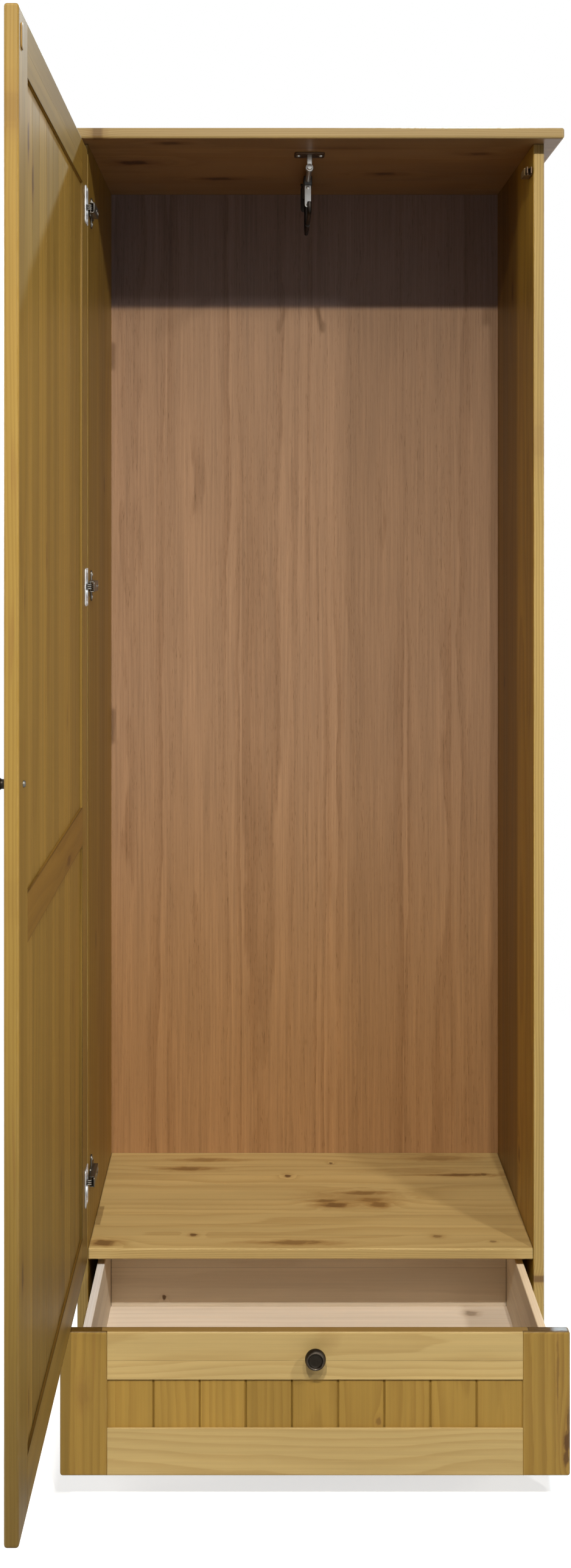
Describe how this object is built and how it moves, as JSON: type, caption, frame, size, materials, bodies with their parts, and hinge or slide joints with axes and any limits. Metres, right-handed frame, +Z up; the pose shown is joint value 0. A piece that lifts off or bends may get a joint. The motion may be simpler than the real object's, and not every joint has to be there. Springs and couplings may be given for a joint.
{
  "type": "single-door wardrobe",
  "caption": "Narrow pine wardrobe: framed door on cup hinges, pull-out hanging rail from front to back under the top, and a drawer below on roller runners.",
  "frame": {"origin": "on the floor, midway between the two side panels, under the middle of the plinth board", "axes": "+Z up; the front faces -Y; +X is to the right of someone who faces the front"},
  "size_m": [0.774, 1.1265, 2],
  "materials": {
    "honey_pine": "honey-coloured satin lacquer on solid pine",
    "pale_pine": "bare pale pine, planed",
    "brown_veneer": "reddish brown wood veneer, satin",
    "pale_ply": "pale thin board, matt",
    "nickel": "nickel-plated steel",
    "zinc": "zinc-plated steel",
    "bronze": "dark antique bronze, rubbed at the rim",
    "dark_steel": "dark browned steel",
    "black_plastic": "black moulded plastic",
    "white_plastic": "off-white moulded plastic"
  },
  "bodies": {
    "carcass": {"left_side_panel": "honey_pine", "right_side_panel": "honey_pine", "top_board": "honey_pine", "compartment_floor": "honey_pine", "bottom_board": "pale_pine", "back_panel": "brown_veneer", "plinth_board": "honey_pine", "top_hinge_arm": "nickel", "top_hinge_plate": "nickel", "middle_hinge_arm": "nickel", "middle_hinge_plate": "nickel", "bottom_hinge_arm": "nickel", "bottom_hinge_plate": "nickel", "cabinet_runner_left": "zinc", "cabinet_runner_right": "zinc", "catch_body": "white_plastic", "catch_poles": "zinc", "rail_front_bracket": "dark_steel", "rail_screw_left": "zinc", "rail_screw_right": "zinc", "rail_rear_bracket": "black_plastic", "rail_guide_rod": "nickel"},
    "door": {"door_hinge_stile": "honey_pine", "door_free_stile": "honey_pine", "door_top_rail": "honey_pine", "door_middle_rail": "honey_pine", "door_bottom_rail": "honey_pine", "door_upper_panel": "honey_pine", "door_lower_panel": "honey_pine", "door_knob": "bronze", "door_knob_screw": "zinc", "top_hinge_cup": "nickel", "top_hinge_pin": "zinc", "middle_hinge_cup": "nickel", "middle_hinge_pin": "zinc", "bottom_hinge_cup": "nickel", "bottom_hinge_pin": "zinc", "catch_strike_plate": "zinc"},
    "drawer": {"drawer_left_stile": "honey_pine", "drawer_right_stile": "honey_pine", "drawer_top_rail": "honey_pine", "drawer_bottom_rail": "honey_pine", "drawer_front_panel": "honey_pine", "drawer_knob": "bronze", "drawer_knob_screw": "zinc", "drawer_left_side": "pale_pine", "drawer_right_side": "pale_pine", "drawer_back": "pale_pine", "drawer_bottom": "pale_ply", "drawer_bottom_cleat": "pale_pine", "drawer_runner_left": "zinc", "drawer_runner_right": "zinc"},
    "hanging_rail": {"rail_slider": "black_plastic", "rail_hanger_rod": "dark_steel", "rail_front_strap": "dark_steel"},
    "front_rollers": {"front_roller_left": "white_plastic", "front_roller_right": "white_plastic"},
    "rear_rollers": {"rear_roller_left": "white_plastic", "rear_roller_right": "white_plastic"}
  },
  "joints": [
    {"name": "door_hinge", "type": "hinge", "parent": "carcass", "child": "door", "pos_m": [-0.354, -0.022, 1.15], "axis": [0, 0, 1], "range_deg": [-5, 90]},
    {"name": "drawer_slide", "type": "slide", "parent": "carcass", "child": "drawer", "axis": [0, -1, 0], "range_m": [-0.199, 0.083]},
    {"name": "rail_slide", "type": "slide", "parent": "carcass", "child": "hanging_rail", "axis": [0, -1, 0], "range_m": [0, 0.07]},
    {"name": "front_roller_spin", "type": "hinge", "parent": "carcass", "child": "front_rollers", "pos_m": [0, 0.0035, 0.125], "axis": [1, 0, 0], "range_deg": [-1200, 500]},
    {"name": "rear_roller_spin", "type": "hinge", "parent": "drawer", "child": "rear_rollers", "pos_m": [0, 0.1075, 0.125], "axis": [1, 0, 0], "range_deg": [-1200, 500]}
  ],
  "couplings": [
    {"joint": "front_roller_spin", "follows": "drawer_slide", "rad_per_m": 104.17},
    {"joint": "rear_roller_spin", "follows": "drawer_slide", "rad_per_m": 104.17}
  ]
}
